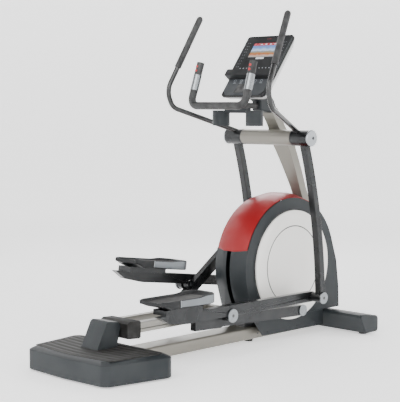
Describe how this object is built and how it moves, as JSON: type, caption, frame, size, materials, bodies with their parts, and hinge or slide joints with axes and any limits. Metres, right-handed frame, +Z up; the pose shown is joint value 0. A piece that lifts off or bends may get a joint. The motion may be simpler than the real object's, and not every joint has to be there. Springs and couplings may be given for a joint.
{
  "type": "elliptical trainer",
  "caption": "Front-drive elliptical cross-trainer with a tilting rail ramp, roller pedal arms, swinging handlebars, crank discs and a console",
  "frame": {"origin": "On the floor under the middle of the bounding box", "axes": "+X is the way the user faces, +Y is the user's left, +Z is up"},
  "size_m": [2.028, 0.788, 1.8305],
  "materials": {
    "frame_silver": "satin warm silver powder coat",
    "frame_dark": "satin dark powder coat",
    "housing_plastic": "fine moulded texture",
    "black_rubber": "ribbed and matte",
    "cover_red": "satin metallic red",
    "console_black": "fine moulded texture",
    "console_silver": "satin silver",
    "screen_glass": "lit display behind gloss",
    "grip_foam": "closed-cell foam",
    "chrome_metal": "polished",
    "flywheel_iron": "machined rim",
    "button_red": "gloss",
    "disc_white": "satin pearl white",
    "arm_paint": "satin dark metallic powder coat",
    "pedal_plastic": "moulded tread",
    "wheel_urethane": "smooth tread"
  },
  "bodies": {
    "frame": {"base_beam": "frame_silver", "rear_cross_member": "frame_dark", "front_stabilizer": "housing_plastic", "stabilizer_end_caps": "housing_plastic", "levelling_feet": "black_rubber", "platform_cover": "housing_plastic", "platform_mat": "black_rubber", "ramp_pivot_bracket": "housing_plastic", "mast": "frame_silver", "cross_tube": "frame_silver", "left_housing_shell": "housing_plastic", "right_housing_shell": "housing_plastic", "top_cover": "cover_red", "left_base_shroud": "housing_plastic", "right_base_shroud": "housing_plastic", "console_neck": "housing_plastic", "console_front": "console_black", "console_back": "console_silver", "display_screen": "screen_glass", "bottle_holders": "housing_plastic", "static_handlebar": "grip_foam", "pulse_plates": "chrome_metal", "drive_frame": "frame_dark", "crank_bearings": "chrome_metal", "drive_belt": "black_rubber", "incline_motor": "console_black", "magnet_brake": "frame_dark"},
    "crank": {"crank_shaft": "frame_dark", "drive_pulley": "console_black", "left_crank_disc": "disc_white", "right_crank_disc": "disc_white"},
    "flywheel": {"flywheel": "flywheel_iron"},
    "ramp": {"ramp_rails": "chrome_metal", "ramp_rear_cap": "black_rubber"},
    "left_upper_button": {"left_upper_button": "button_red"},
    "left_lower_button": {"left_lower_button": "button_red"},
    "left_swing_arm": {"left_swing_handle": "arm_paint", "left_handle_grip": "grip_foam", "left_arm_hub": "arm_paint", "left_hub_cap": "chrome_metal", "left_lower_leg": "arm_paint"},
    "left_link_pin": {"left_lower_pivot_pin": "chrome_metal"},
    "left_pedal_link": {"left_pedal_arm": "arm_paint", "left_pedal": "pedal_plastic"},
    "left_roller_link": {"left_roller_arm": "arm_paint", "left_pivot_pins": "chrome_metal"},
    "left_wheel": {"left_roller_wheel": "wheel_urethane"},
    "right_upper_button": {"right_upper_button": "button_red"},
    "right_lower_button": {"right_lower_button": "button_red"},
    "right_swing_arm": {"right_swing_handle": "arm_paint", "right_handle_grip": "grip_foam", "right_arm_hub": "arm_paint", "right_hub_cap": "chrome_metal", "right_lower_leg": "arm_paint"},
    "right_link_pin": {"right_lower_pivot_pin": "chrome_metal"},
    "right_pedal_link": {"right_pedal_arm": "arm_paint", "right_pedal": "pedal_plastic"},
    "right_roller_link": {"right_roller_arm": "arm_paint", "right_pivot_pins": "chrome_metal"},
    "right_wheel": {"right_roller_wheel": "wheel_urethane"}
  },
  "joints": [
    {"name": "crank_spin", "type": "hinge", "parent": "frame", "child": "crank", "pos_m": [0.56, 0, 0.422], "axis": [0, -1, 0], "continuous": true},
    {"name": "flywheel_spin", "type": "hinge", "parent": "frame", "child": "flywheel", "pos_m": [0.745, 0, 0.262], "axis": [0, -1, 0], "continuous": true},
    {"name": "ramp_tilt", "type": "hinge", "parent": "frame", "child": "ramp", "pos_m": [-0.637, 0, 0.204], "axis": [0, -1, 0], "range_deg": [0, 8]},
    {"name": "right_arm_swing", "type": "hinge", "parent": "frame", "child": "right_swing_arm", "pos_m": [0.493, -0.252, 1.147], "axis": [0, -1, 0], "range_deg": [-11.1, 18.5]},
    {"name": "left_arm_swing", "type": "hinge", "parent": "frame", "child": "left_swing_arm", "pos_m": [0.493, 0.252, 1.147], "axis": [0, -1, 0], "range_deg": [-18.55, 11.15]},
    {"name": "right_link_pivot", "type": "hinge", "parent": "right_swing_arm", "child": "right_link_pin", "pos_m": [0.58271, -0.235, 0.25199], "axis": [0, -1, 0], "range_deg": [-16.53, 9.94]},
    {"name": "right_link_lift", "type": "hinge", "parent": "right_link_pin", "child": "right_pedal_link", "pos_m": [0.58271, -0.235, 0.25199], "axis": [0, -1, 0], "range_deg": [-4.03, 0.05]},
    {"name": "right_mid_pivot", "type": "hinge", "parent": "right_pedal_link", "child": "right_roller_link", "pos_m": [-0.07934, -0.212, 0.22757], "axis": [0, -1, 0], "range_deg": [-0.282, 0.05]},
    {"name": "right_wheel_roll", "type": "hinge", "parent": "right_roller_link", "child": "right_wheel", "pos_m": [-0.23992, -0.08, 0.2703], "axis": [0, -1, 0], "range_deg": [-551.98, 331.21]},
    {"name": "left_link_pivot", "type": "hinge", "parent": "left_swing_arm", "child": "left_link_pin", "pos_m": [0.69764, 0.235, 0.27109], "axis": [0, -1, 0], "range_deg": [-8.36, 13.89]},
    {"name": "left_link_lift", "type": "hinge", "parent": "left_link_pin", "child": "left_pedal_link", "pos_m": [0.69764, 0.235, 0.27109], "axis": [0, -1, 0], "range_deg": [-5.16, 0.05]},
    {"name": "left_mid_pivot", "type": "hinge", "parent": "left_pedal_link", "child": "left_roller_link", "pos_m": [0.03812, 0.212, 0.33392], "axis": [0, -1, 0], "range_deg": [-1.04, 0.05]},
    {"name": "left_wheel_roll", "type": "hinge", "parent": "left_roller_link", "child": "left_wheel", "pos_m": [-0.11538, 0.08, 0.2703], "axis": [0, -1, 0], "range_deg": [-324.14, 540.2]},
    {"name": "left_upper_button_press", "type": "slide", "parent": "frame", "child": "left_upper_button", "axis": [0.9519, 0, -0.3065], "range_m": [0, 0.0015], "stiffness_N_per_m": 700, "springref_m": -0.0015},
    {"name": "left_lower_button_press", "type": "slide", "parent": "frame", "child": "left_lower_button", "axis": [0.9519, 0, -0.3065], "range_m": [0, 0.0015], "stiffness_N_per_m": 700, "springref_m": -0.0015},
    {"name": "right_upper_button_press", "type": "slide", "parent": "frame", "child": "right_upper_button", "axis": [0.9519, 0, -0.3065], "range_m": [0, 0.0015], "stiffness_N_per_m": 700, "springref_m": -0.0015},
    {"name": "right_lower_button_press", "type": "slide", "parent": "frame", "child": "right_lower_button", "axis": [0.9519, 0, -0.3065], "range_m": [0, 0.0015], "stiffness_N_per_m": 700, "springref_m": -0.0015}
  ],
  "couplings": [
    {"joint": "flywheel_spin", "follows": "crank_spin", "ratio": 7.2727},
    {"joint": "left_arm_swing", "follows": "right_arm_swing", "ratio": -1},
    {"joint": "right_link_pivot", "follows": "right_arm_swing", "ratio": -0.8909},
    {"joint": "right_link_lift", "follows": "ramp_tilt", "ratio": -0.4972},
    {"joint": "right_mid_pivot", "follows": "ramp_tilt", "ratio": -0.029},
    {"joint": "right_wheel_roll", "follows": "right_arm_swing", "ratio": -29.834},
    {"joint": "left_link_pivot", "follows": "right_arm_swing", "ratio": 0.7483},
    {"joint": "left_link_lift", "follows": "ramp_tilt", "ratio": -0.6388},
    {"joint": "left_mid_pivot", "follows": "ramp_tilt", "ratio": -0.1233},
    {"joint": "left_wheel_roll", "follows": "right_arm_swing", "ratio": 29.197}
  ]
}
